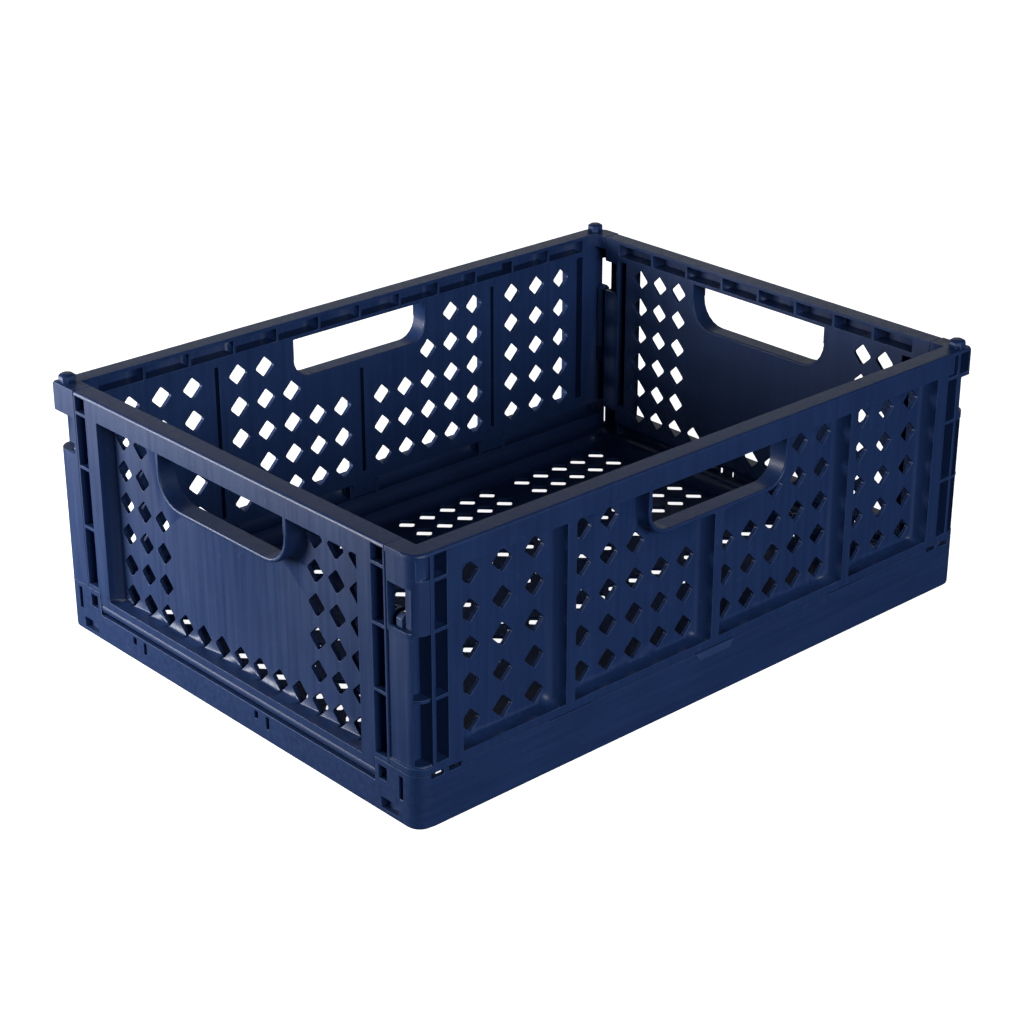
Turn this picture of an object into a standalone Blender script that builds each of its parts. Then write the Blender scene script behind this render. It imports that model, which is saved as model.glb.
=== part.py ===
"""Folding storage crate: a base tray, two side walls, two end walls that fold in, and four latch tabs.

Metres, +Z up. The origin is the middle of the underside, +X runs along the long side.
Every wall is modelled at its front or left place, and its partner is the same shape turned half round.
"""
import math

import bmesh
import bpy
from mathutils import Vector

# overall size
LENGTH = 0.403
WIDTH = 0.298
RIM_TOP = 0.1435
PEG_HEIGHT = 0.0045
CORNER_RADIUS = 0.0085
SKIN = 0.0024
GAP = 0.0003
HALF_LENGTH = LENGTH / 2
HALF_WIDTH = WIDTH / 2

# base tray
SKIRT_TOP = 0.029
SILL_TOP = 0.0159
SHELF_TOP = 0.020
STEP_TOP = 0.0116
FLOOR_TOP = 0.004
SHELF_INNER_Y = 0.1378
FLOOR_HALF_X = 0.190
FLOOR_HALF_Y = 0.129
SILL_HALF_Y = 0.1172
CHEEK_INNER_X = 0.1930
CHEEK_TOP = 0.0275
LUG_INNER_Y = 0.1384
SIDE_PIN = (0.1423, 0.0247)

# walls: a panel whose frame stands out from a thin web, open to the inside
WALL_DEPTH = 0.0112
BAY_DEPTH = 0.0088
BAY_TOP = 0.1315
RIM_SKIN = 0.0022
SIDE_BOTTOM = SKIRT_TOP + GAP
SIDE_BAY_BOTTOM = 0.034
SIDE_RIBS = (-0.103, 0.0, 0.103)
RIB_WIDTH = 0.006
RIB_CHANNEL = 0.0026
SIDE_STILE = (0.1727, 0.1819)
LADDER = (0.033, 0.068, 0.103, 0.129)
LADDER_RIB = 0.0018

# corner posts, which belong to the side walls and wrap on to the ends
POST_EDGE_Y = 0.1284
POST_INSET = 0.0010
BLOCK_INSET = 0.0005
BLOCK_BOTTOM = 0.1005
LIP_BOTTOM = 0.1403
CAP_BOTTOM = 0.1355
SHALLOW = 0.0025
NEAR_POCKET = (0.1819, 0.1897)
FAR_POCKET = (0.1917, 0.1993)
WINDOW_X = 0.1975
WINDOW_Y = (0.1293, 0.1445)
WINDOW_Z = (0.1035, 0.1257)
NOTCH_X = 0.1935
NOTCH_Y = 0.1305
NOTCH_Z = (0.1065, 0.1275)
NOTCH_CORNER = 0.0012
PEG = 0.0084
PEG_FROM_CORNER = 0.0062
PEG_CORNER = 0.0020

# end walls
END_EDGE_Y = POST_EDGE_Y - GAP
END_STILE = (0.1077, 0.1182)
END_BAY_BOTTOM = 0.0265
END_LADDER = (0.066, 0.101, 0.1318)
END_RECESS_TOP = 0.1413
END_RECESS_DEPTH = 0.005
THROAT_X = 0.1956
THROAT_Z = (0.1085, 0.1280)
HINGE_X = HALF_LENGTH - 0.0040
HINGE_Z = 0.0198
HINGE_RAIL = 0.0036
PIN = 0.0018
PIN_LENGTH = 0.0022
LATCH_Y = (0.1325, 0.1366)
LATCH_X = (HALF_LENGTH - 0.0029, HALF_LENGTH - 0.0090)
LATCH_FOOT = (0.058, 0.068)
LATCH_TOP = 0.1095
LATCH_SLOPE = 0.0020

# hand holes
SIDE_HANDLE = (0.049, 0.1075, 0.012)
END_HANDLE = (0.052, 0.1050, 0.016)
LIP = 0.0024

# square holes set on their corners: half a diagonal, columns and rows
WALL_HOLE = 0.00665
FLOOR_HOLE = 0.0066
SIDE_ROWS = (0.0425, 0.062, 0.0815, 0.101, 0.1205)
SIDE_COLUMNS = {0.015: 3, 0.0332: 3, 0.0514: 4, 0.0698: 5, 0.0883: 5, 0.1195: 5, 0.1402: 5, 0.1609: 5}
END_ROWS = (0.0325, 0.0503, 0.0684, 0.0866, 0.1048, 0.1228)
END_PITCH = 0.0162
END_FULL_COLUMN = 4
FLOOR_PITCH = 0.0162
FLOOR_COLUMN_STARTS = (0.0147, 0.1088)
FLOOR_COLUMNS = 5
FLOOR_ROWS = (0.014, 0.0302, 0.0464, 0.1008, 0.117)

NAVY = (0.011, 0.026, 0.095, 1.0)
ROUGHNESS = 0.42


def clear_scene():
    for item in list(bpy.data.objects):
        bpy.data.objects.remove(item, do_unlink=True)


def placed(name, mesh):
    item = bpy.data.objects.new(name, mesh)
    bpy.context.scene.collection.objects.link(item)
    return item


def prism(outline, axis, low, high):
    """A solid whose outline, in the two other axes in X, Y, Z order, runs along one axis."""
    shape = bmesh.new()
    rings = []
    for level in (low, high):
        ring = []
        for point in outline:
            place = list(point)
            place.insert(axis, level)
            ring.append(shape.verts.new(place))
        rings.append(ring)
    shape.faces.new(rings[0])
    shape.faces.new(rings[1])
    for i in range(len(outline)):
        k = (i + 1) % len(outline)
        shape.faces.new((rings[0][i], rings[0][k], rings[1][k], rings[1][i]))
    bmesh.ops.recalc_face_normals(shape, faces=shape.faces)
    mesh = bpy.data.meshes.new("prism")
    shape.to_mesh(mesh)
    shape.free()
    return placed("prism", mesh)


def block(xs, ys, zs):
    """A box between two values on each axis, given in either order."""
    (x0, x1), (y0, y1) = sorted(xs), sorted(ys)
    return prism([(x0, y0), (x1, y0), (x1, y1), (x0, y1)], 2, min(zs), max(zs))


def turned(axis, centre, radius, low, high, sides=12):
    """A round bar along one axis."""
    ring = []
    for i in range(sides):
        angle = 2 * math.pi * (i + 0.5) / sides
        ring.append((centre[0] + radius * math.cos(angle), centre[1] + radius * math.sin(angle)))
    return prism(ring, axis, min(low, high), max(low, high))


def diamond(axis, centre, half_diagonal, low, high):
    a, b = centre
    h = half_diagonal
    return prism([(a - h, b), (a, b - h), (a + h, b), (a, b + h)], axis, low, high)


def arc(centre, radius, start, end, steps):
    points = []
    for i in range(steps + 1):
        angle = math.radians(start + (end - start) * i / steps)
        points.append((centre[0] + radius * math.cos(angle), centre[1] + radius * math.sin(angle)))
    return points


def rounded_rectangle(half_x, half_y, radius, steps=5):
    points = []
    for sign_x, sign_y, start in ((1, 1, 0), (-1, 1, 90), (-1, -1, 180), (1, -1, 270)):
        centre = (sign_x * (half_x - radius), sign_y * (half_y - radius))
        points += arc(centre, radius, start, start + 90, steps)
    return points


def hand_hole(handle, top, grow=0.0):
    """The outline of a hand hole: straight at the top, with round lower corners."""
    half, bottom, radius = handle
    half, bottom, radius = half + grow, bottom - grow, radius + grow
    left = arc((radius - half, bottom + radius), radius, 180, 270, 6)
    right = arc((half - radius, bottom + radius), radius, 270, 360, 6)
    return [(-half, top)] + left + right + [(half, top)]


def joined(pieces):
    """Several solids that don't touch, as one object."""
    shape = bmesh.new()
    for piece in pieces:
        shape.from_mesh(piece.data)
        bpy.data.objects.remove(piece, do_unlink=True)
    mesh = bpy.data.meshes.new("pieces")
    shape.to_mesh(mesh)
    shape.free()
    return placed("pieces", mesh)


def combine(body, operation, tool):
    """One Boolean step, applied."""
    step = body.modifiers.new("step", "BOOLEAN")
    step.operation = operation
    step.solver = "EXACT"
    step.object = tool
    evaluated = body.evaluated_get(bpy.context.evaluated_depsgraph_get())
    mesh = bpy.data.meshes.new_from_object(evaluated)
    body.modifiers.clear()
    body.data = mesh
    bpy.data.objects.remove(tool, do_unlink=True)


def cut(body, pieces):
    combine(body, "DIFFERENCE", joined(pieces))


def add(body, pieces):
    for piece in pieces:
        combine(body, "UNION", piece)


def plastic():
    material = bpy.data.materials.new("navy_polypropylene")
    material.use_nodes = True
    shader = material.node_tree.nodes["Principled BSDF"]
    shader.inputs["Base Color"].default_value = NAVY
    shader.inputs["Roughness"].default_value = ROUGHNESS
    shader.inputs["Metallic"].default_value = 0.0
    return material


def finish(body, name, origin=(0.0, 0.0, 0.0)):
    """Names the piece and moves its origin, leaving the shape where it is."""
    body.name = name
    shift = Vector(origin)
    for vertex in body.data.vertices:
        vertex.co -= shift
    body.location = shift
    body.data.name = name
    body.data.materials.clear()
    body.data.materials.append(plastic())
    return body


def half_turn_copy(body, name):
    """The partner on the other side of the crate: the same shape turned half round the Z axis."""
    copy = placed(name, body.data.copy())
    copy.data.name = name
    copy.data.materials.clear()
    copy.data.materials.append(plastic())
    copy.location = (-body.location.x, -body.location.y, body.location.z)
    copy.rotation_euler = (0.0, 0.0, math.pi)
    return copy


def spans(start, end, count, rib):
    """Equal spans between two ends, with a rib between neighbours."""
    width = (end - start - rib * (count - 1)) / count
    return [(start + i * (width + rib), start + i * (width + rib) + width) for i in range(count)]


# ---------------------------------------------------------------- base tray

def underside_hollows():
    """Open boxes under the step and the shelf, parted by ribs; the corner ones take the pegs below."""
    foot = 0.0015
    low = -0.001
    hollows = []
    outer_y = HALF_WIDTH - SKIN
    outer_x = HALF_LENGTH - SKIN
    for side in (-1, 1):
        for x0, x1 in spans(-0.1785, 0.1785, 7, SKIN):
            ys = (side * (FLOOR_HALF_Y + SKIN), side * outer_y)
            hollows.append(block((x0, x1), ys, (low, STEP_TOP - SKIN)))
        for y0, y1 in spans(-0.1165, 0.1165, 5, SKIN):
            xs = (side * (FLOOR_HALF_X + SKIN), side * outer_x)
            hollows.append(block(xs, (y0, y1), (low, STEP_TOP - SKIN)))
        for end in (-1, 1):
            xs = (end * 0.1830, end * (HALF_LENGTH - 0.0040))
            ys = (side * (FLOOR_HALF_Y + SKIN), side * (HALF_WIDTH - 0.0040))
            hollows.append(block(xs, ys, (low, STEP_TOP - SKIN)))
    for x0, x1 in spans(-0.188, 0.188, 4, 0.003):
        for y0, y1 in spans(-0.127, 0.127, 3, 0.003):
            hollows.append(block((x0, x1), (y0, y1), (low, foot)))
    return hollows


def shelf_hollows():
    """The deeper part of the hollows, under the shelf that the side walls hinge on."""
    hollows = []
    for side in (-1, 1):
        for x0, x1 in spans(-0.1785, 0.1785, 7, SKIN):
            ys = (side * (SHELF_INNER_Y + SKIN), side * (HALF_WIDTH - SKIN))
            hollows.append(block((x0, x1), ys, (0.004, SHELF_TOP - SKIN)))
    return hollows


def floor_holes():
    columns = []
    for start in FLOOR_COLUMN_STARTS:
        columns += [start + i * FLOOR_PITCH for i in range(FLOOR_COLUMNS)]
    holes = []
    for x in columns:
        for y in FLOOR_ROWS:
            for sign_x in (-1, 1):
                for sign_y in (-1, 1):
                    centre = (sign_x * x, sign_y * y)
                    holes.append(diamond(2, centre, FLOOR_HOLE, -0.002, FLOOR_TOP + 0.002))
    return holes


def end_skin_holes():
    """Moulding pockets in the skin of each corner block, and the paired notches of the sill."""
    holes = []
    for end in (-1, 1):
        xs = (end * (HALF_LENGTH - SKIN - 0.001), end * (HALF_LENGTH + 0.001))
        for side in (-1, 1):
            holes.append(block(xs, (side * 0.1201, side * 0.1262), (0.0185, 0.0258)))
            holes.append(block(xs, (side * 0.1352, side * 0.1382), (0.0133, 0.0262)))
            holes.append(block(xs, (side * 0.1215, side * 0.1345), (0.0028, 0.0088)))
        for middle in (end * 0.027, end * -0.081):
            holes.append(block(xs, (middle - 0.0062, middle - 0.0036), (0.0072, 0.0142)))
            holes.append(block(xs, (middle + 0.0030, middle + 0.0062), (0.0098, 0.0142)))
    return holes


def skirt_notches():
    notches = []
    for side in (-1, 1):
        ys = (side * (HALF_WIDTH - SKIN - 0.001), side * (HALF_WIDTH + 0.001))
        for end in (-1, 1):
            for start in (0.1742, 0.1852):
                notches.append(block((end * start, end * (start + 0.0078)), ys, (0.0265, 0.031)))
    return notches


def hinge_pads():
    """Long shallow pads on the skirt's top edge, in front of the side walls' hinges."""
    pads = []
    for side in (-1, 1):
        for rib in SIDE_RIBS:
            half, slope = 0.0145, 0.003
            outline = [(rib - half, SKIRT_TOP), (rib - half + slope, 0.0245),
                       (rib + half - slope, 0.0245), (rib + half, SKIRT_TOP)]
            pads.append(prism(outline, 1, *sorted((side * (HALF_WIDTH - 0.001), side * (HALF_WIDTH + 0.0005)))))
    return pads


def hinge_lugs():
    """Pairs of lugs on the shelf that hold the pins of the side walls."""
    lugs = []
    for side in (-1, 1):
        for rib in SIDE_RIBS:
            for end in (-1, 1):
                xs = (rib + end * 0.0085, rib + end * 0.0110)
                ys = (side * LUG_INNER_Y, side * (HALF_WIDTH - SKIN + 0.0005))
                lugs.append(block(xs, ys, (SHELF_TOP - 0.0005, 0.028)))
    return lugs


def side_pin_holes():
    holes = []
    for side in (-1, 1):
        for rib in SIDE_RIBS:
            for end in (-1, 1):
                low, high = sorted((rib + end * 0.0080, rib + end * 0.0115))
                holes.append(turned(0, (side * SIDE_PIN[0], SIDE_PIN[1]), PIN + GAP, low, high, 8))
    return holes


def end_cheeks():
    """Cheek plates inside the corner blocks, with the holes that hold the end walls' pins."""
    cheeks = []
    for end in (-1, 1):
        for side in (-1, 1):
            xs = (end * CHEEK_INNER_X, end * (HALF_LENGTH - 0.0005))
            ys = (side * SILL_HALF_Y, side * (SILL_HALF_Y + SKIN))
            cheeks.append(block(xs, ys, (STEP_TOP - 0.0005, CHEEK_TOP)))
    return cheeks


def end_pin_holes():
    holes = []
    for end in (-1, 1):
        for side in (-1, 1):
            low, high = sorted((side * (SILL_HALF_Y - 0.001), side * (SILL_HALF_Y + SKIN + 0.001)))
            holes.append(turned(1, (end * HINGE_X, HINGE_Z), PIN + GAP, low, high, 8))
    return holes


def build_base():
    base = prism(rounded_rectangle(HALF_LENGTH, HALF_WIDTH, CORNER_RADIUS), 2, 0.0, SKIRT_TOP)
    inner_x = HALF_LENGTH - SKIN
    inner_y = HALF_WIDTH - SKIN
    high = 0.040
    cut(base, [prism(rounded_rectangle(inner_x, inner_y, CORNER_RADIUS - SKIN), 2, SHELF_TOP, high)])
    cut(base, [block((-inner_x, inner_x), (-SHELF_INNER_Y, SHELF_INNER_Y), (STEP_TOP, high))])
    cut(base, [block((-FLOOR_HALF_X, FLOOR_HALF_X), (-FLOOR_HALF_Y, FLOOR_HALF_Y), (FLOOR_TOP, high))])
    cut(base, underside_hollows())
    cut(base, shelf_hollows())
    cut(base, floor_holes())
    for end in (-1, 1):
        xs = (end * (inner_x - 0.001), end * (HALF_LENGTH + 0.001))
        cut(base, [block(xs, (-SILL_HALF_Y, SILL_HALF_Y), (SILL_TOP, high))])
    add(base, end_cheeks())
    cut(base, end_pin_holes())
    cut(base, end_skin_holes())
    add(base, hinge_lugs())
    cut(base, side_pin_holes() + skirt_notches())
    add(base, hinge_pads())
    return finish(base, "base_tray")


# ---------------------------------------------------------------- side walls

OUTER_Y = -HALF_WIDTH
WEB_OUTER_Y = OUTER_Y + BAY_DEPTH
WALL_INNER_Y = OUTER_Y + WALL_DEPTH
PAST_INNER_Y = WALL_INNER_Y + 0.001
PAST_OUTER_Y = OUTER_Y - 0.001


def post_outline():
    """The wall's plan: straight along the side, rounding each corner into a short leg on the end."""
    leg_x = HALF_LENGTH - SKIN
    left = [(-leg_x, WALL_INNER_Y), (-leg_x, -POST_EDGE_Y), (-HALF_LENGTH, -POST_EDGE_Y)]
    left += arc((CORNER_RADIUS - HALF_LENGTH, OUTER_Y + CORNER_RADIUS), CORNER_RADIUS, 180, 270, 5)
    right = arc((HALF_LENGTH - CORNER_RADIUS, OUTER_Y + CORNER_RADIUS), CORNER_RADIUS, 270, 360, 5)
    right += [(HALF_LENGTH, -POST_EDGE_Y), (leg_x, -POST_EDGE_Y), (leg_x, WALL_INNER_Y)]
    return left + right


def post_trim(inset, low, high):
    """A thin slice off the outside of the windowed post between two heights."""
    outer = rounded_rectangle(HALF_LENGTH + 0.002, HALF_WIDTH + 0.002, CORNER_RADIUS)
    frame = prism(outer, 2, low, high)
    inner = rounded_rectangle(HALF_LENGTH - inset, HALF_WIDTH - inset, CORNER_RADIUS - inset)
    combine(frame, "DIFFERENCE", prism(inner, 2, 0.0, 0.2))
    combine(frame, "INTERSECT", block((-FAR_POCKET[0], -0.21), (-0.16, -0.10), (0.0, 0.2)))
    return frame


def corner_caps():
    """The rim carried round each corner, over the latch, to meet the end wall's rim."""
    caps = []
    for end in (-1, 1):
        xs = (end * (HALF_LENGTH - WALL_DEPTH), end * (HALF_LENGTH - 0.001))
        caps.append(block(xs, (WALL_INNER_Y - 0.001, -POST_EDGE_Y), (CAP_BOTTOM, RIM_TOP)))
    return caps


def square_block():
    """The block over the cut-away corner, nearly square where the rest of the post is round."""
    inner_x = HALF_LENGTH - CORNER_RADIUS - 0.001
    inner_y = OUTER_Y + CORNER_RADIUS + 0.001
    outline = [(inner_x, OUTER_Y), (HALF_LENGTH - NOTCH_CORNER, OUTER_Y),
               (HALF_LENGTH, OUTER_Y + NOTCH_CORNER), (HALF_LENGTH, inner_y), (inner_x, inner_y)]
    return prism(outline, 2, NOTCH_Z[1], RIM_TOP)


def side_bays():
    edges = [-SIDE_STILE[0]]
    for rib in SIDE_RIBS:
        edges += [rib - RIB_WIDTH / 2, rib + RIB_WIDTH / 2]
    edges.append(SIDE_STILE[0])
    bays = []
    for i in range(0, len(edges), 2):
        xs = (edges[i], edges[i + 1])
        bays.append(block(xs, (PAST_OUTER_Y, WEB_OUTER_Y), (SIDE_BAY_BOTTOM, BAY_TOP)))
    return bays


def ladder_pockets():
    """Two columns of pockets between the stile and the post, some of them shallow or filled."""
    half = LADDER_RIB / 2
    levels = (*LADDER, RIM_TOP - 0.0018 + half)
    rows = [(low + half, high - half) for low, high in zip(levels, levels[1:])]
    deep = (PAST_OUTER_Y, WEB_OUTER_Y)
    shallow = (PAST_OUTER_Y, OUTER_Y + SHALLOW)
    columns = (
        (-1, NEAR_POCKET, (deep, deep, deep, deep)),
        (-1, FAR_POCKET, (deep, deep, None, shallow)),
        (1, NEAR_POCKET, (deep, deep, deep, shallow)),
        (1, FAR_POCKET, (deep, deep, None, deep)),
    )
    pockets = []
    for end, (x0, x1), depths in columns:
        for ys, zs in zip(depths, rows):
            if ys:
                pockets.append(block((end * x0, end * x1), ys, zs))
    return pockets


def side_channels():
    """What the frame hides: its hollow rim, ribs and stiles, open to the inside."""
    ys = (OUTER_Y + RIM_SKIN, PAST_INNER_Y)
    channels = []
    for x0, x1 in spans(-0.1795, 0.1795, 12, 0.0016):
        channels.append(block((x0, x1), ys, (BAY_TOP + RIM_SKIN, RIM_TOP - RIM_SKIN)))
    for rib in SIDE_RIBS:
        top = BAY_TOP - 0.003 if rib else SIDE_HANDLE[1] - LIP - 0.003
        xs = (rib - RIB_CHANNEL / 2, rib + RIB_CHANNEL / 2)
        channels.append(block(xs, ys, (SIDE_BAY_BOTTOM + 0.002, top)))
    for end in (-1, 1):
        xs = (end * (SIDE_STILE[0] + 0.002), end * (SIDE_STILE[1] - 0.002))
        channels.append(block(xs, ys, (SIDE_BAY_BOTTOM + 0.002, BAY_TOP - 0.001)))
    return channels


def side_holes():
    holes = []
    for x, count in SIDE_COLUMNS.items():
        for z in SIDE_ROWS[:count]:
            for sign in (-1, 1):
                holes.append(diamond(1, (sign * x, z), WALL_HOLE, WEB_OUTER_Y - 0.002, PAST_INNER_Y))
    return holes


def latch_openings():
    """A window in the block at one end, and the corner cut right away at the other, each by a latch."""
    past_x = HALF_LENGTH + 0.001
    window = block((-WINDOW_X, -past_x), (-WINDOW_Y[0], -WINDOW_Y[1]), WINDOW_Z)
    notch = block((NOTCH_X, past_x), (-NOTCH_Y, PAST_OUTER_Y), NOTCH_Z)
    return [window, notch]


def hinge_knuckles():
    """Feet with stub pins that drop between the lugs of the base."""
    knuckles = []
    for rib in SIDE_RIBS:
        xs = (rib - 0.0082, rib + 0.0082)
        knuckles.append(block(xs, (-0.1461, -LUG_INNER_Y), (SHELF_TOP + 0.0006, SIDE_BOTTOM + 0.001)))
        knuckles.append(turned(0, (-SIDE_PIN[0], SIDE_PIN[1]), PIN, rib - 0.0106, rib + 0.0106, 8))
    return knuckles


def pegs(ends):
    """Stacking pegs: short square studs with a sloping edge."""
    studs = []
    for end in ends:
        centre = Vector((end * (HALF_LENGTH - PEG_FROM_CORNER), -(HALF_WIDTH - PEG_FROM_CORNER), 0))
        shape = bmesh.new()
        rings = []
        for z, half in ((-0.001, PEG / 2), (PEG_HEIGHT - 0.0012, PEG / 2), (PEG_HEIGHT, PEG / 2 - 0.0015)):
            corners = rounded_rectangle(half, half, PEG_CORNER, 1)
            rings.append([shape.verts.new((centre.x + x, centre.y + y, RIM_TOP + z)) for x, y in corners])
        shape.faces.new(rings[0])
        shape.faces.new(rings[2])
        bmesh.ops.bridge_loops(shape, edges=ring_edges(shape, rings[0]) + ring_edges(shape, rings[1]))
        bmesh.ops.bridge_loops(shape, edges=ring_edges(shape, rings[1]) + ring_edges(shape, rings[2]))
        bmesh.ops.recalc_face_normals(shape, faces=shape.faces)
        mesh = bpy.data.meshes.new("peg")
        shape.to_mesh(mesh)
        shape.free()
        studs.append(placed("peg", mesh))
    return studs


def ring_edges(shape, ring):
    """The edges of a closed ring of vertices, made where they are missing."""
    edges = []
    for i, vertex in enumerate(ring):
        pair = (vertex, ring[(i + 1) % len(ring)])
        edges.append(shape.edges.get(pair) or shape.edges.new(pair))
    return edges


def build_side_wall(name, peg_ends):
    wall = prism(post_outline(), 2, SIDE_BOTTOM, RIM_TOP)
    cut(wall, [post_trim(POST_INSET, SIDE_BOTTOM + 0.0035, BLOCK_BOTTOM)])
    cut(wall, [post_trim(BLOCK_INSET, BLOCK_BOTTOM, LIP_BOTTOM)])
    add(wall, [*corner_caps(), square_block()])
    cut(wall, side_bays() + ladder_pockets())
    lip = prism(hand_hole(SIDE_HANDLE, BAY_TOP + 0.001, LIP), 1, OUTER_Y, WALL_INNER_Y)
    add(wall, [lip])
    cut(wall, side_channels())
    cut(wall, side_holes() + latch_openings())
    cut(wall, [prism(hand_hole(SIDE_HANDLE, BAY_TOP), 1, PAST_OUTER_Y, PAST_INNER_Y)])
    add(wall, hinge_knuckles() + pegs(peg_ends))
    return finish(wall, name)


# ---------------------------------------------------------------- end walls

OUTER_X = -HALF_LENGTH
WEB_OUTER_X = OUTER_X + BAY_DEPTH
WALL_INNER_X = OUTER_X + WALL_DEPTH
PAST_INNER_X = WALL_INNER_X + 0.001
PAST_OUTER_X = OUTER_X - 0.001


def end_pockets():
    """The single bay, and the pockets between the stiles and the wall's edges."""
    half = LADDER_RIB / 2
    levels = (SIDE_BOTTOM + 0.0015, *END_LADDER)
    xs = (PAST_OUTER_X, WEB_OUTER_X)
    pockets = [block(xs, (-END_STILE[0], END_STILE[0]), (END_BAY_BOTTOM, BAY_TOP))]
    for side in (-1, 1):
        ys = (side * END_STILE[1], side * (END_EDGE_Y - 0.0011))
        for low, high in zip(levels, levels[1:]):
            pockets.append(block(xs, ys, (low + half, high - half)))
        recess_xs = (PAST_OUTER_X, OUTER_X + END_RECESS_DEPTH)
        pockets.append(block(recess_xs, ys, (levels[-1] + half, END_RECESS_TOP)))
    return pockets


def end_channels():
    xs = (OUTER_X + RIM_SKIN, PAST_INNER_X)
    channels = []
    for y0, y1 in spans(-0.1160, 0.1160, 8, 0.0016):
        channels.append(block(xs, (y0, y1), (BAY_TOP + RIM_SKIN, RIM_TOP - RIM_SKIN)))
    for side in (-1, 1):
        ys = (side * (END_STILE[0] + 0.002), side * (END_STILE[1] - 0.002))
        channels.append(block(xs, ys, (SIDE_BAY_BOTTOM, BAY_TOP - 0.001)))
    return channels


def end_holes():
    """Full columns beside the hand hole and a single row along the bottom."""
    holes = []
    for column in range(-6, 7):
        if abs(column) < END_FULL_COLUMN:
            rows = END_ROWS[:1]
        elif column == END_FULL_COLUMN:
            rows = END_ROWS[:4]
        else:
            rows = END_ROWS
        for z in rows:
            holes.append(diamond(0, (column * END_PITCH, z), WALL_HOLE, WEB_OUTER_X - 0.002, PAST_INNER_X))
    return holes


def build_end_wall(name):
    wall = block((OUTER_X, WALL_INNER_X), (-END_EDGE_Y, END_EDGE_Y), (SIDE_BOTTOM, RIM_TOP))
    low = block((OUTER_X + 0.0002, WALL_INNER_X), (-0.1169, 0.1169), (0.0220, SIDE_BOTTOM + 0.001))
    rail = turned(1, (-HINGE_X, HINGE_Z), HINGE_RAIL, -0.1169, 0.1169, 16)
    add(wall, [low, rail])
    cut(wall, end_pockets())
    add(wall, [prism(hand_hole(END_HANDLE, BAY_TOP + 0.001, LIP), 0, OUTER_X, WALL_INNER_X)])
    cut(wall, end_channels())
    cut(wall, end_holes())
    cut(wall, [block((-THROAT_X, PAST_INNER_X), (-END_STILE[1], -POST_EDGE_Y - 0.001), THROAT_Z)])
    cut(wall, [prism(hand_hole(END_HANDLE, BAY_TOP), 0, PAST_OUTER_X, PAST_INNER_X)])
    for side in (-1, 1):
        low, high = sorted((side * 0.1160, side * (0.1169 + PIN_LENGTH)))
        add(wall, [turned(1, (-HINGE_X, HINGE_Z), PIN, low, high, 8)])
        ys = (side * (END_EDGE_Y - 0.0008), side * LATCH_Y[1])
        add(wall, [block((-LATCH_X[0], -LATCH_X[1]), ys, LATCH_FOOT)])
    return finish(wall, name, (-HINGE_X, 0.0, HINGE_Z))


def build_latch(name, side):
    """A springy tab with a sloping top, hinged at its foot on the end wall's edge."""
    foot = LATCH_FOOT[1] + GAP
    outer_x, inner_x = -LATCH_X[0], -LATCH_X[1]
    outline = [(outer_x, foot), (inner_x, foot), (inner_x, LATCH_TOP - LATCH_SLOPE),
               (inner_x - LATCH_SLOPE, LATCH_TOP), (outer_x + LATCH_SLOPE, LATCH_TOP),
               (outer_x, LATCH_TOP - LATCH_SLOPE)]
    tab = prism(outline, 1, *sorted((side * LATCH_Y[0], side * LATCH_Y[1])))
    return finish(tab, name, ((outer_x + inner_x) / 2, side * sum(LATCH_Y) / 2, foot))


def main():
    clear_scene()
    build_base()
    build_side_wall("side_wall_front", (1,))
    back = build_side_wall("side_wall_back", (-1, 1))
    back.rotation_euler = (0.0, 0.0, math.pi)
    end_wall = build_end_wall("end_wall_left")
    half_turn_copy(end_wall, "end_wall_right")
    front_tab = build_latch("latch_tab_left_front", -1)
    back_tab = build_latch("latch_tab_left_back", 1)
    half_turn_copy(front_tab, "latch_tab_right_back")
    half_turn_copy(back_tab, "latch_tab_right_front")


main()
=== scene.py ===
"""Looks of a folding storage crate: mouldings with rounded edges, satin polypropylene, a plain stage."""
import math

import bmesh
import bpy
from bpy.props import FloatProperty, FloatVectorProperty, PointerProperty
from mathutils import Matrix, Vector


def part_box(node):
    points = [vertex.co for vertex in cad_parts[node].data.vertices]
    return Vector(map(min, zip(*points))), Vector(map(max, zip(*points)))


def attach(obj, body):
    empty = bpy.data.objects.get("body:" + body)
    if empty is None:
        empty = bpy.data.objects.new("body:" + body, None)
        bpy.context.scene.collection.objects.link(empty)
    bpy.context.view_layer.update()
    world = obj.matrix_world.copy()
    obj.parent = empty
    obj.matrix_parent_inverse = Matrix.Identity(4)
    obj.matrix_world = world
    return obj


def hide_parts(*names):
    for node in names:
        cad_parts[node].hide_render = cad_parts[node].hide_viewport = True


bl_info = {
    "name": "Folding Storage Crate",
    "version": (1, 0, 0),
    "blender": (4, 5, 0),
    "location": "View3D > Sidebar > Crate",
    "description": "Finishes the mouldings of a folding storage crate and sets them on a stage",
    "category": "Object",
}

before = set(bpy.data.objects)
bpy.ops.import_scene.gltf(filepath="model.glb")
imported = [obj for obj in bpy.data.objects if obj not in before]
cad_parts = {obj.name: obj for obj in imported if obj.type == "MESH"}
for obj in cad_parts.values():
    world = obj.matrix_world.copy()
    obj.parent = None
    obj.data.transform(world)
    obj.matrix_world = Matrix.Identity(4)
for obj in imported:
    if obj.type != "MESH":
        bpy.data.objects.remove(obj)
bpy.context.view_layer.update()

MM = 0.001
CRATE_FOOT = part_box("base_tray")[0][2]
CRATE_HALF_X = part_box("side_wall_front")[1][0]
CRATE_HALF_Y = -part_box("side_wall_front")[0][1]
RIM_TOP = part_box("end_wall_left")[1][2]

# thickness of the skins that the square holes go through, with a little to spare
FLOOR_SKIN = 4.5 * MM
WALL_SKIN = 3 * MM
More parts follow.
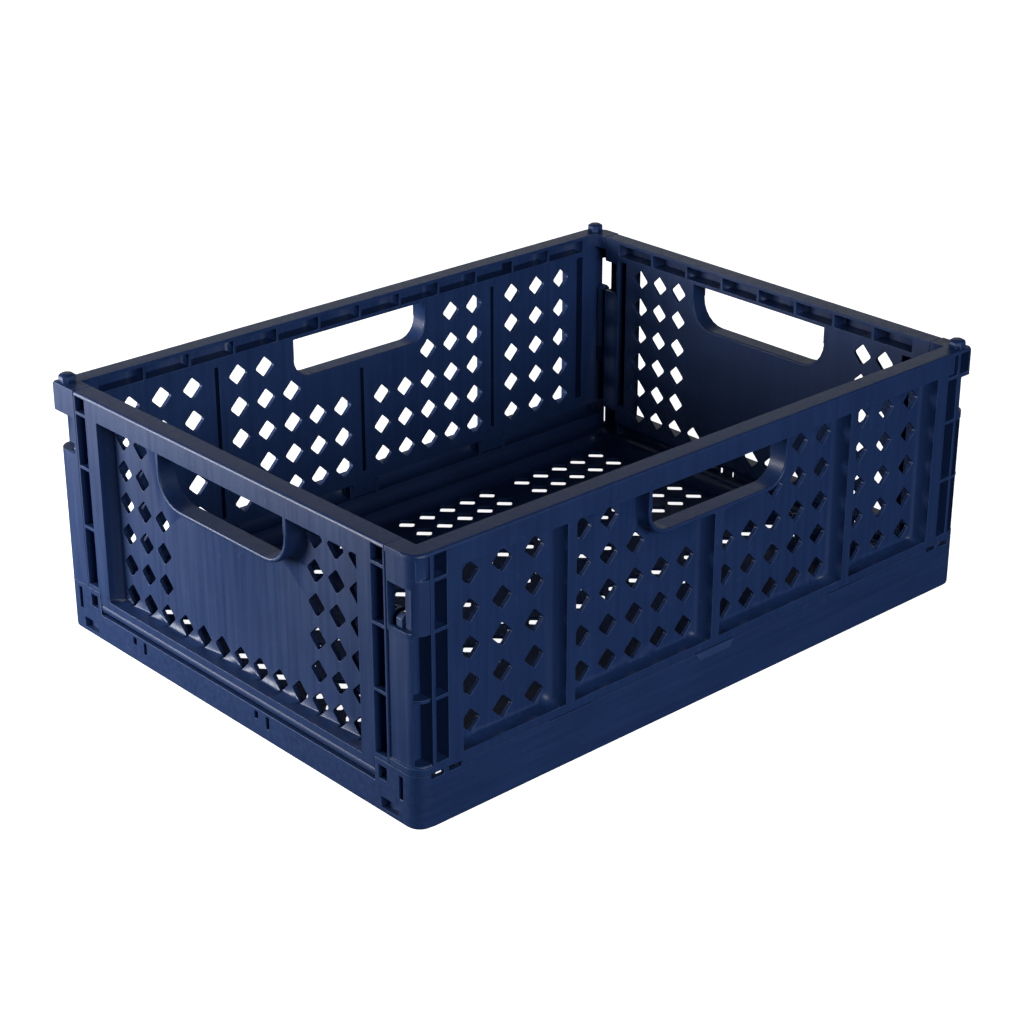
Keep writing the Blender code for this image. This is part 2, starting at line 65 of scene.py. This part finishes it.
# the space round each kind of hand hole: half its length, its bottom and its top
SIDE_HAND_HOLE = (52 * MM, 104 * MM, 129 * MM)
END_HAND_HOLE = (55 * MM, 101 * MM, 129 * MM)
# how far in from the outside the rim's outer edge and the skirt's foot may lie
SIDE_RIM_REACH = 9 * MM
END_RIM_REACH = 1 * MM
SKIRT_REACH = 9 * MM
SKIRT_FOOT_RADIUS = 1.0 * MM
# two heights or places nearer than this are the same
SAME = 0.05 * MM


def linear(hex_colour):
    """An sRGB hex colour as linear RGBA."""
    channels = []
    for i in (0, 2, 4):
        value = int(hex_colour[i:i + 2], 16) / 255
        channels.append(value / 12.92 if value <= 0.04045 else ((value + 0.055) / 1.055) ** 2.4)
    return (*channels, 1.0)


# ---------------------------------------------------------------- settings

class CrateEdgeSettings(bpy.types.PropertyGroup):
    """How round the mould left each kind of edge."""
    edge: FloatProperty(
        name="Moulded edge", description="Radius of the ordinary outside edges",
        default=0.2 * MM, min=0.05 * MM, max=0.4 * MM, unit="LENGTH")
    hole_corner: FloatProperty(
        name="Hole corner", description="Radius of the corners of the square holes",
        default=1.3 * MM, min=0.2 * MM, max=3 * MM, unit="LENGTH")
    lip: FloatProperty(
        name="Hand hole lip", description="Radius along the lip of the hand holes",
        default=0.95 * MM, min=0.2 * MM, max=1.1 * MM, unit="LENGTH")
    rim: FloatProperty(
        name="Rim edge", description="Radius of the rim's outer top edge",
        default=1.5 * MM, min=0.3 * MM, max=3 * MM, unit="LENGTH")


class CratePlasticSettings(bpy.types.PropertyGroup):
    """Colours and finish of the polypropylene."""
    body: FloatVectorProperty(
        name="Navy", description="Main colour of the polypropylene", subtype="COLOR", size=4,
        default=linear("1C3159"), min=0, max=1)
    deep: FloatVectorProperty(
        name="Deep navy", description="Darker clouds in the pigment", subtype="COLOR", size=4,
        default=linear("16284C"), min=0, max=1)
    # painted highlight: this lighter colour is painted on the rounded edge strips for the light they catch,
    # and also on the random scuffs from handling
    edge_highlight_and_scuff: FloatVectorProperty(
        name="Edge highlight and scuff", description="Colour of edges rubbed by handling", subtype="COLOR", size=4,
        default=linear("30486F"), min=0, max=1)
    roughness: FloatProperty(
        name="Roughness", description="Mean roughness of the satin skin", default=0.42, min=0, max=1,
        subtype="FACTOR")


class CrateStageSettings(bpy.types.PropertyGroup):
    """Floor, lights and camera."""
    floor: FloatVectorProperty(
        name="Floor", description="Colour of the matt floor", subtype="COLOR", size=4,
        default=linear("F7F7F8"), min=0, max=1)
    lens: FloatProperty(
        name="Lens", description="Focal length on a 36 mm sensor, in millimetres", default=82.3, min=20,
        max=200)
    key_power: FloatProperty(
        name="End light", description="Power of the low softbox off the left end", default=11.5, min=0,
        unit="POWER")
    fill_power: FloatProperty(
        name="Front light", description="Power of the low softbox off the long side", default=39.0, min=0,
        unit="POWER")
    back_power: FloatProperty(
        name="Back light", description="Power of the tall softbox behind the crate", default=5.5, min=0,
        unit="POWER")
    air: FloatProperty(
        name="Air", description="Strength of the even light from all round", default=0.03, min=0)
    glow: FloatProperty(
        name="Floor glow", description="Light given out by the translucent floor", default=1.0, min=0)


# ---------------------------------------------------------------- modelling helpers

def deselect_everything():
    """Leaves edit mode and lets go of every object."""
    if bpy.context.mode != "OBJECT":
        bpy.ops.object.mode_set(mode="OBJECT")
    bpy.ops.object.select_all(action="DESELECT")


def make_active(piece):
    """Makes one object the only selected and the active one."""
    deselect_everything()
    piece.select_set(True)
    bpy.context.view_layer.objects.active = piece


def is_curved(normal):
    """Whether a face leans as only those of arcs do: neither square on nor at 45 degrees."""
    largest = max(abs(value) for value in normal)
    return largest < 0.999 and abs(largest - math.sqrt(0.5)) > 0.005


def is_slanting(normal, others):
    """Whether a face leans at about 45 degrees between two axes, as the walls of a square hole do."""
    return all(0.6 < abs(normal[i]) < 0.8 for i in others)


def is_hole_corner(edge, axis, deepest):
    """Whether an edge runs along one axis between two slanting walls of a square hole."""
    others = [i for i in range(3) if i != axis]
    run = edge.verts[0].co - edge.verts[1].co
    return (abs(run[axis]) > 0.99 * run.length and run.length < deepest and not edge.is_convex
            and all(is_slanting(face.normal, others) for face in edge.link_faces))


def hole_cuts(piece, axis, deepest):
    """Where to cut between the rows of holes: the other axis, and for each row a plane that crosses
    its holes beside their middles and stands clear of every other face."""
    across, along = [i for i in range(3) if i != axis]
    shifts = [shift * MM for shift in (3.0, -3.0, 2.4, -2.4, 3.7, -3.7)]
    clear, same_column = 1.0 * MM, 0.1 * MM
    shape = bmesh.from_edit_mesh(piece.data)
    middles = []
    for edge in shape.edges:
        if len(edge.link_faces) == 2 and is_hole_corner(edge, axis, deepest):
            lean = edge.link_faces[0].normal + edge.link_faces[1].normal
            place = edge.verts[0].co[across]
            is_new = all(abs(place - known) > same_column for known in middles)
            if abs(lean[along]) > abs(lean[across]) and is_new:
                middles.append(place)
    levels = {face.verts[0].co[across] for face in shape.faces if abs(face.normal[across]) > 0.999}
    cuts = []
    for middle in middles:
        tries = [middle + shift for shift in shifts]
        cuts.append(max(tries, key=lambda place: min(clear, *(abs(place - level) for level in levels))))
    return across, cuts


def merged_copy(node, name, hole_axis=None, deepest=0.0):
    """A CAD node's shape as a new piece: its triangles merged, its flat faces made whole again between
    cuts that run through the holes, the holes' corners rounded, and no face left concave."""
    merge_distance = 0.02 * MM
    cut_tolerance = 0.01 * MM
    on_the_plane = 0.004 * MM
    flat_angle = math.radians(0.6)
    piece = bpy.data.objects.new(name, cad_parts[node].data.copy())
    bpy.context.scene.collection.objects.link(piece)
    piece.data.materials.clear()
    make_active(piece)
    bpy.ops.object.mode_set(mode="EDIT")
    bpy.ops.mesh.select_mode(type="EDGE")
    bpy.ops.mesh.select_all(action="SELECT")
    bpy.ops.mesh.remove_doubles(threshold=merge_distance)
    if hole_axis is not None:
        across, cuts = hole_cuts(piece, hole_axis, deepest)
        for place in cuts:
            point, normal = [0.0] * 3, [0.0] * 3
            point[across], normal[across] = place, 1.0
            bpy.ops.mesh.select_all(action="SELECT")
            bpy.ops.mesh.bisect(plane_co=point, plane_no=normal, threshold=cut_tolerance)

        def on_a_flat_cut(edge):
            on_cut = any(
                all(abs(vertex.co[across] - place) < on_the_plane for vertex in edge.verts)
                for place in cuts)
            near = [face for vertex in edge.verts for face in vertex.link_faces]
            return on_cut and not any(is_curved(face.normal) for face in near)
        pick_edges(piece, on_a_flat_cut)
        bpy.ops.mesh.mark_seam()
        bpy.ops.mesh.select_all(action="SELECT")
    bpy.ops.mesh.dissolve_limited(angle_limit=flat_angle, delimit={"SEAM"})
    bpy.ops.mesh.select_all(action="SELECT")
    bpy.ops.mesh.mark_seam(clear=True)
    if hole_axis is not None:
        radius = bpy.context.scene.crate_edges.hole_corner
        round_edges(piece, hole_corner_test(hole_axis, deepest), radius, 3)
    bpy.ops.mesh.select_all(action="SELECT")
    bpy.ops.mesh.vert_connect_concave()
    bpy.ops.mesh.select_all(action="DESELECT")
    return piece


def pick_edges(piece, wanted):
    """Selects the edges, in edit mode, that a test accepts, and says how many."""
    shape = bmesh.from_edit_mesh(piece.data)
    count = 0
    for edge in shape.edges:
        edge.select = False
    for edge in shape.edges:
        if len(edge.link_faces) == 2 and wanted(edge):
            edge.select = True
            count += 1
    shape.select_flush_mode()
    bmesh.update_edit_mesh(piece.data)
    return count


def round_edges(piece, wanted, radius, segments):
    """Rounds, in edit mode, the edges that a test accepts."""
    if pick_edges(piece, wanted):
        bpy.ops.mesh.bevel(
            offset=radius, offset_type="OFFSET", segments=segments, profile=0.5, affect="EDGES",
            clamp_overlap=False, loop_slide=True)


def sharp_and_convex(edge, least=35):
    """Whether an edge stands out and turns by more than so many degrees."""
    return edge.is_convex and edge.calc_face_angle(0.0) > math.radians(least)


def hole_corner_test(axis, deepest):
    """The test for the corner edges of the square holes that run along one axis."""
    def wanted(edge):
        return is_hole_corner(edge, axis, deepest)
    return wanted


def lip_test(hand_hole, along, through):
    """The test for the lip edges of a hand hole that is long on one axis and goes through another."""
    reach, bottom, top = hand_hole

    def wanted(edge):
        inside = all(
            abs(vertex.co[along]) < reach and bottom < vertex.co.z < top for vertex in edge.verts)
        run = edge.verts[0].co - edge.verts[1].co
        return inside and abs(run[through]) < 0.5 * run.length and sharp_and_convex(edge, 50)
    return wanted


def finish_moulding(piece, body, nodes, material):
    """Rounds what is still sharp, marks the rounded strips for a painted edge highlight, smooths and hands
    the piece over.
    """
    round_edges(piece, sharp_and_convex, bpy.context.scene.crate_edges.edge, 2)
    bpy.ops.object.mode_set(mode="OBJECT")
    # painted highlight: each rounded strip is marked so that the material paints it lighter, for the light
    # the edges catch
    edge_highlight_layer = piece.data.attributes.new("painted_edge_highlight", "FLOAT", "FACE")
    for face in piece.data.polygons:
        edge_highlight_layer.data[face.index].value = 1.0 if face.select else 0.0
        face.select = False
    make_active(piece)
    bpy.ops.object.shade_smooth_by_angle(angle=math.radians(50))
    bpy.ops.object.modifier_add(type="WEIGHTED_NORMAL")
    weighted = piece.modifiers[-1]
    weighted.mode = "FACE_AREA"
    weighted.weight = 100
    weighted.keep_sharp = True
    bpy.ops.object.modifier_apply(modifier=weighted.name)
    piece.data.materials.append(material)
    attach(piece, body)
    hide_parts(*nodes)
    return piece


# ---------------------------------------------------------------- materials

def add_node(tree, kind, links=(), **settings):
    """Adds a shader node, sets its properties and inputs, and links (input, node, output) triples."""
    node = tree.nodes.new(kind)
    for key, value in settings.items():
        if hasattr(node, key):
            setattr(node, key, value)
        else:
            node.inputs[key.replace("_", " ")].default_value = value
    for target, source, output in links:
        tree.links.new(source.outputs[output], node.inputs[target])
    return node


def moulded_polypropylene(name, streak_axis, shift):
    """Injection-moulded polypropylene: a satin skin with fine spark-erosion grain, flow streaks along
    the way the melt ran, faint clouds in the pigment, scuffs from handling and a painted highlight
    of lighter colour along the rounded edges."""
    plastic = bpy.context.scene.crate_plastic
    material = bpy.data.materials.new(name)
    material.use_nodes = True
    tree = material.node_tree
    shader = tree.nodes["Principled BSDF"]
    shader.inputs["IOR"].default_value = 1.49
    shader.inputs["Specular IOR Level"].default_value = 0.28

    place = add_node(tree, "ShaderNodeTexCoord")
    shifted = add_node(tree, "ShaderNodeMapping", [("Vector", place, "Object")], Location=shift)

    cloud_size = 35 * MM
    clouds = add_node(
        tree, "ShaderNodeTexNoise", [("Vector", shifted, "Vector")],
        Scale=1 / cloud_size, Detail=3.0, Roughness=0.5)
    streak_width, streak_length = 3 * MM, 70 * MM
    stretch = [1 / streak_width] * 3
    stretch[streak_axis] = 1 / streak_length
    stretched = add_node(tree, "ShaderNodeMapping", [("Vector", shifted, "Vector")], Scale=stretch)
    streaks = add_node(
        tree, "ShaderNodeTexNoise", [("Vector", stretched, "Vector")], Scale=1.0, Detail=4.0, Roughness=0.6)
    # real grain is about 0.15 mm; 0.7 mm is the finest that shows at this distance
    grain_size = 0.7 * MM
    grain = add_node(
        tree, "ShaderNodeTexNoise", [("Vector", shifted, "Vector")],
        Scale=1 / grain_size, Detail=2.0, Roughness=0.55)
    scuff_size = 9 * MM
    scuffs = add_node(
        tree, "ShaderNodeTexNoise", [("Vector", shifted, "Vector")],
        Scale=1 / scuff_size, Detail=8.0, Roughness=0.72, Distortion=1.5)
    scuff_mask = add_node(
        tree, "ShaderNodeMapRange", [("Value", scuffs, "Fac")],
        From_Min=0.60, From_Max=0.72, To_Min=0.0, To_Max=0.35)

    mixed = add_node(
        tree, "ShaderNodeMix", [("Factor", clouds, "Fac")],
        data_type="RGBA", A=tuple(plastic.deep), B=tuple(plastic.body))
    streak_tone = add_node(
        tree, "ShaderNodeMapRange", [("Value", streaks, "Fac")],
        From_Min=0.3, From_Max=0.7, To_Min=0.90, To_Max=1.12)
    toned = add_node(
        tree, "ShaderNodeVectorMath", [(0, mixed, "Result"), (1, streak_tone, "Result")],
        operation="MULTIPLY")
    # painted highlight: the rounded edge strips are mixed towards the lighter colour, patchy with the
    # pigment clouds, for the light their edges catch; the scuffs take the same colour as scuffing from
    # handling
    edge_highlight_input = add_node(tree, "ShaderNodeAttribute", attribute_name="painted_edge_highlight")
    edge_highlight_amount = add_node(
        tree, "ShaderNodeMath", [(0, edge_highlight_input, "Fac"), (1, clouds, "Fac")], operation="MULTIPLY")
    lightened_by_highlight_and_scuff = add_node(
        tree, "ShaderNodeMath", [(0, edge_highlight_amount, "Value"), (1, scuff_mask, "Result")], operation="ADD",
        use_clamp=True)
    colour = add_node(
        tree, "ShaderNodeMix", [("Factor", lightened_by_highlight_and_scuff, "Value"), ("A", toned, "Vector")],
        data_type="RGBA", B=tuple(plastic.edge_highlight_and_scuff))
    tree.links.new(colour.outputs["Result"], shader.inputs["Base Color"])

    gloss = add_node(
        tree, "ShaderNodeMapRange", [("Value", streaks, "Fac")],
        From_Min=0.25, From_Max=0.75,
        To_Min=plastic.roughness - 0.06, To_Max=plastic.roughness + 0.08)
    dulled = add_node(
        tree, "ShaderNodeMath", [(0, scuff_mask, "Result"), (2, gloss, "Result")],
        operation="MULTIPLY_ADD")
    scuff_dulling = 0.25
    dulled.inputs[1].default_value = scuff_dulling
    tree.links.new(dulled.outputs["Value"], shader.inputs["Roughness"])

    fine = add_node(
        tree, "ShaderNodeBump", [("Height", grain, "Fac")], Strength=0.22, Distance=0.06 * MM)
    sink = add_node(
        tree, "ShaderNodeBump", [("Height", clouds, "Fac"), ("Normal", fine, "Normal")],
        Strength=0.35, Distance=0.9 * MM)
    tree.links.new(sink.outputs["Normal"], shader.inputs["Normal"])
    return material


def lit_floor():
    """A lit sheet of opal acrylic: matt, giving out an even white light with a faint mottle."""
    stage = bpy.context.scene.crate_stage
    material = bpy.data.materials.new("lit_opal_acrylic")
    material.use_nodes = True
    tree = material.node_tree
    shader = tree.nodes["Principled BSDF"]
    shader.inputs["Roughness"].default_value = 0.9
    shader.inputs["Specular IOR Level"].default_value = 0.1
    place = add_node(tree, "ShaderNodeTexCoord")
    mottle_size = 400 * MM
    mottle = add_node(
        tree, "ShaderNodeTexNoise", [("Vector", place, "Object")], Scale=1 / mottle_size, Detail=2.0)
    colour = add_node(
        tree, "ShaderNodeMix", [("Factor", mottle, "Fac")],
        data_type="RGBA", A=tuple(stage.floor), B=linear("FBFBFB"))
    tree.links.new(colour.outputs["Result"], shader.inputs["Base Color"])
    tree.links.new(colour.outputs["Result"], shader.inputs["Emission Color"])
    shader.inputs["Emission Strength"].default_value = stage.glow
    return material


# ---------------------------------------------------------------- pieces

class CRATE_OT_base_tray(bpy.types.Operator):
    """Base tray: pierced floor, step, skirt and corner blocks"""
    bl_idname = "crate.base_tray"
    bl_label = "Base tray"

    def execute(self, context):
        tray = merged_copy("base_tray", "tray_moulding", 2, FLOOR_SKIN)

        def is_skirt_face(face):
            """Whether a face is upright, faces outward and lies at the outside of the crate."""
            steepest_lean, outermost = 0.3, 0.97
            middle = face.calc_center_median()
            faces_out = face.normal.x * middle.x + face.normal.y * middle.y > 0
            far_out = max(abs(middle.x) / CRATE_HALF_X, abs(middle.y) / CRATE_HALF_Y) > outermost
            return abs(face.normal.z) < steepest_lean and faces_out and far_out

        def foot_edge(edge):
            low = all(vertex.co.z < CRATE_FOOT + SAME for vertex in edge.verts)
            outside = any(
                abs(vertex.co.x) > CRATE_HALF_X - SKIRT_REACH
                or abs(vertex.co.y) > CRATE_HALF_Y - SKIRT_REACH for vertex in edge.verts)
            return low and outside and any(map(is_skirt_face, edge.link_faces)) and sharp_and_convex(edge)
        round_edges(tray, foot_edge, SKIRT_FOOT_RADIUS, 3)
        plastic = moulded_polypropylene("navy_tray_polypropylene", 0, (0.0, 0.0, 0.0))
        finish_moulding(tray, "crate_body", ["base_tray"], plastic)
        return {"FINISHED"}


def side_wall(node, name, outward, material):
    """One long wall; outward is -1 at the front and 1 at the back."""
    edges = bpy.context.scene.crate_edges
    wall = merged_copy(node, name, 1, WALL_SKIN)
    round_edges(wall, lip_test(SIDE_HAND_HOLE, 0, 1), edges.lip, 4)

    def rim_edge(edge):
        high = all(abs(vertex.co.z - RIM_TOP) < SAME for vertex in edge.verts)
        far = all(vertex.co.y * outward > CRATE_HALF_Y - SIDE_RIM_REACH for vertex in edge.verts)
        side = any(
            abs(face.normal.z) < 0.2 and face.normal.y * outward > 0.05 for face in edge.link_faces)
        return high and far and side and sharp_and_convex(edge, 50)
    round_edges(wall, rim_edge, edges.rim, 4)
    return finish_moulding(wall, "crate_body", [node], material)


class CRATE_OT_side_walls(bpy.types.Operator):
    """Side walls: four bays, ribs, hand hole, corner posts and pegs"""
    bl_idname = "crate.side_walls"
    bl_label = "Side walls"

    def execute(self, context):
        front = moulded_polypropylene("navy_front_wall_polypropylene", 2, (0.31, 0.17, 0.05))
        side_wall("side_wall_front", "front_wall_moulding", -1, front)
        back = moulded_polypropylene("navy_back_wall_polypropylene", 2, (0.72, 0.44, 0.13))
        side_wall("side_wall_back", "back_wall_moulding", 1, back)
        return {"FINISHED"}


def end_wall(node, name, body, outward, material):
    """One short wall; outward is -1 at the left and 1 at the right."""
    edges = bpy.context.scene.crate_edges
    wall = merged_copy(node, name, 0, WALL_SKIN)
    round_edges(wall, lip_test(END_HAND_HOLE, 1, 0), edges.lip, 4)

    def rim_edge(edge):
        high = all(abs(vertex.co.z - RIM_TOP) < SAME for vertex in edge.verts)
        far = all(vertex.co.x * outward > CRATE_HALF_X - END_RIM_REACH for vertex in edge.verts)
        return high and far and sharp_and_convex(edge, 50)
    round_edges(wall, rim_edge, edges.rim, 4)
    return finish_moulding(wall, body, [node], material)


class CRATE_OT_end_walls(bpy.types.Operator):
    """End walls: pierced panel, hand hole, stiles and hinge rail"""
    bl_idname = "crate.end_walls"
    bl_label = "End walls"

    def execute(self, context):
        left = moulded_polypropylene("navy_left_end_polypropylene", 2, (0.12, 0.93, 0.27))
        end_wall("end_wall_left", "left_end_moulding", "left_end", -1, left)
        right = moulded_polypropylene("navy_right_end_polypropylene", 2, (0.58, 0.36, 0.81))
        end_wall("end_wall_right", "right_end_moulding", "right_end", 1, right)
        return {"FINISHED"}


class CRATE_OT_latch_tabs(bpy.types.Operator):
    """Latch tabs: the springy strips inside the corner windows"""
    bl_idname = "crate.latch_tabs"
    bl_label = "Latch tabs"

    def execute(self, context):
        plastic = moulded_polypropylene("navy_latch_polypropylene", 2, (0.44, 0.61, 0.39))
        for end in ("left", "right"):
            for side in ("front", "back"):
                tab = merged_copy(f"latch_tab_{end}_{side}", f"{end}_{side}_latch_moulding")
                finish_moulding(
                    tab, f"{end}_{side}_latch", [f"latch_tab_{end}_{side}"], plastic)
        return {"FINISHED"}


# ---------------------------------------------------------------- stage

def area_light(name, location, target, size, power, colour):
    """A rectangular softbox that faces a target."""
    bpy.ops.object.light_add(type="AREA", location=location)
    lamp = bpy.context.object
    lamp.name = name
    lamp.data.shape = "RECTANGLE"
    lamp.data.size, lamp.data.size_y = size
    lamp.data.energy = power
    lamp.data.color = colour[:3]
    lamp.rotation_euler = (Vector(target) - Vector(location)).to_track_quat("-Z", "Y").to_euler()
    return lamp


class CRATE_OT_stage(bpy.types.Operator):
    """Stage: floor, soft lights and the camera"""
    bl_idname = "crate.stage"
    bl_label = "Stage"

    def execute(self, context):
        stage = context.scene.crate_stage
        deselect_everything()
        floor_size, floor_gap = 14.0, 0.3 * MM
        bpy.ops.mesh.primitive_plane_add(size=floor_size, location=(0.0, 0.0, -floor_gap))
        floor = context.object
        floor.name = "studio_floor"
        floor.data.materials.append(lit_floor())
        # the lit floor throws no light up on to the crate, which would turn its foot and inside grey
        floor.visible_diffuse = False
        floor.visible_glossy = False

        middle = (0.0, 0.0, 0.07)
        white, cool = linear("FFFFFF"), linear("F4F8FF")
        area_light("end_softbox", (-0.68, 0.5, 0.18), middle, (0.4, 0.35), stage.key_power, white)
        area_light("front_softbox", (-0.35, -2.0, 0.7), middle, (1.4, 0.7), stage.fill_power, cool)
        area_light("back_softbox", (1.3, 1.7, 0.8), middle, (2.6, 0.6), stage.back_power, cool)

        world = bpy.data.worlds.new("studio_air")
        context.scene.world = world
        world.use_nodes = True
        background = world.node_tree.nodes["Background"]
        background.inputs["Color"].default_value = white
        background.inputs["Strength"].default_value = stage.air

        eye = Vector((-0.8026, -0.8735, 0.5931))
        view = Vector((0.6136, 0.6730, -0.4130))
        bpy.ops.object.camera_add(location=eye, rotation=view.to_track_quat("-Z", "Y").to_euler())
        camera = context.object
        camera.name = "crate_camera"
        camera.data.sensor_width = 36.0
        camera.data.lens = stage.lens
        camera.data.clip_start = 0.01
        context.scene.camera = camera
        context.scene.view_settings.view_transform = "Standard"
        return {"FINISHED"}


class CRATE_PT_panel(bpy.types.Panel):
    """Sidebar panel that lists the crate's steps"""
    bl_label = "Folding crate"
    bl_idname = "CRATE_PT_panel"
    bl_space_type = "VIEW_3D"
    bl_region_type = "UI"
    bl_category = "Crate"

    def draw(self, context):
        layout = self.layout
        for group in ("crate_edges", "crate_plastic", "crate_stage"):
            settings = getattr(context.scene, group)
            box = layout.box()
            for name in settings.bl_rna.properties.keys():
                if name not in ("rna_type", "name"):
                    box.prop(settings, name)
        for step in STEPS:
            layout.operator(step.bl_idname)


SETTINGS = {
    "crate_edges": CrateEdgeSettings,
    "crate_plastic": CratePlasticSettings,
    "crate_stage": CrateStageSettings,
}
STEPS = (
    CRATE_OT_base_tray,
    CRATE_OT_side_walls,
    CRATE_OT_end_walls,
    CRATE_OT_latch_tabs,
    CRATE_OT_stage,
)


def register():
    for kind in (*SETTINGS.values(), *STEPS, CRATE_PT_panel):
        bpy.utils.register_class(kind)
    for name, kind in SETTINGS.items():
        setattr(bpy.types.Scene, name, PointerProperty(type=kind))


def unregister():
    for name in SETTINGS:
        delattr(bpy.types.Scene, name)
    for kind in reversed((*SETTINGS.values(), *STEPS, CRATE_PT_panel)):
        bpy.utils.unregister_class(kind)


def main():
    register()
    bpy.ops.crate.base_tray()
    bpy.ops.crate.side_walls()
    bpy.ops.crate.end_walls()
    bpy.ops.crate.latch_tabs()
    bpy.ops.crate.stage()
    deselect_everything()


if __name__ == "__main__":
    main()
